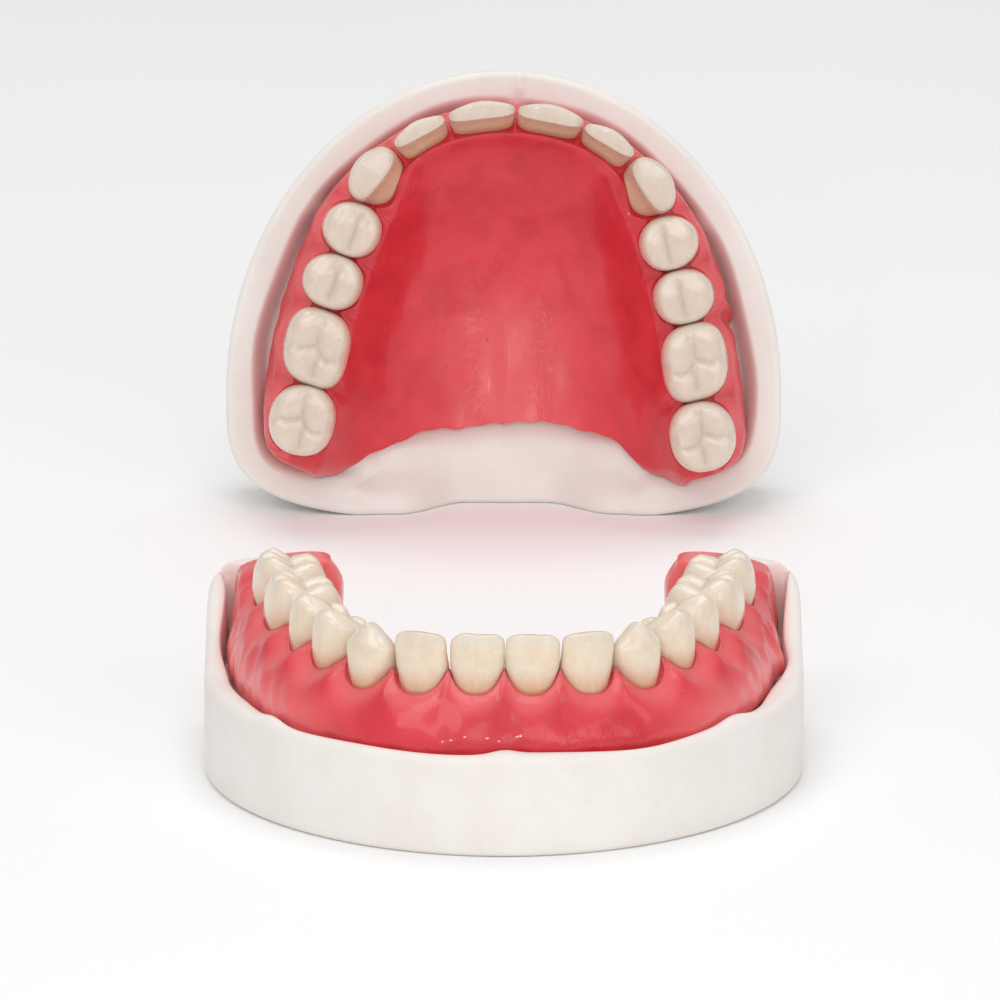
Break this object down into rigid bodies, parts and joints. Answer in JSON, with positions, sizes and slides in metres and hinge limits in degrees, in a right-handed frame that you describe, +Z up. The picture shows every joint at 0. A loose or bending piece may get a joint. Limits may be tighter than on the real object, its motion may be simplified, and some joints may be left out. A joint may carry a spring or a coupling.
{
  "type": "typodont model",
  "caption": "Toothless upper and lower jaw casts, each carrying a pink complete denture; the lower stands flat and the upper stands open on its heel.",
  "frame": {"origin": "on the flat base of the lower cast, on its midline, under the lower incisal edges", "axes": "+Z up, away from the table; +X to the right of somebody facing the teeth, which is the patient's left; +Y towards the back of the jaws"},
  "size_m": [0.0742, 0.1888, 0.0582],
  "materials": {
    "cast": "matt off-white casting resin",
    "gum": "glossy pink denture acrylic",
    "lower_teeth": "glossy ivory tooth resin",
    "upper_teeth": "glossy ivory tooth resin"
  },
  "bodies": {
    "lower_cast": {"lower_cast": "cast"},
    "lower_denture": {"lower_denture_base": "gum", "lower_right_central_incisor": "lower_teeth", "lower_right_lateral_incisor": "lower_teeth", "lower_right_canine": "lower_teeth", "lower_right_first_premolar": "lower_teeth", "lower_right_second_premolar": "lower_teeth", "lower_right_first_molar": "lower_teeth", "lower_right_second_molar": "lower_teeth", "lower_left_central_incisor": "lower_teeth", "lower_left_lateral_incisor": "lower_teeth", "lower_left_canine": "lower_teeth", "lower_left_first_premolar": "lower_teeth", "lower_left_second_premolar": "lower_teeth", "lower_left_first_molar": "lower_teeth", "lower_left_second_molar": "lower_teeth"},
    "upper_denture": {"upper_denture_base": "gum", "upper_right_central_incisor": "upper_teeth", "upper_right_lateral_incisor": "upper_teeth", "upper_right_canine": "upper_teeth", "upper_right_first_premolar": "upper_teeth", "upper_right_second_premolar": "upper_teeth", "upper_right_first_molar": "upper_teeth", "upper_right_second_molar": "upper_teeth", "upper_left_central_incisor": "upper_teeth", "upper_left_lateral_incisor": "upper_teeth", "upper_left_canine": "upper_teeth", "upper_left_first_premolar": "upper_teeth", "upper_left_second_premolar": "upper_teeth", "upper_left_first_molar": "upper_teeth", "upper_left_second_molar": "upper_teeth"},
    "upper_cast": {"upper_cast": "cast"}
  },
  "joints": [
    {"name": "lower_denture_lift", "type": "slide", "parent": "lower_cast", "child": "lower_denture", "axis": [0, 0, 1], "range_m": [0, 0.015]},
    {"name": "bite_closing", "type": "hinge", "parent": "lower_denture", "child": "upper_denture", "pos_m": [0, 0.08629, -0.02076], "axis": [1, 0, 0], "range_deg": [0, 102.5]},
    {"name": "upper_cast_release", "type": "slide", "parent": "upper_denture", "child": "upper_cast", "axis": [0, 1, 0], "range_m": [0, 0.015]}
  ]
}
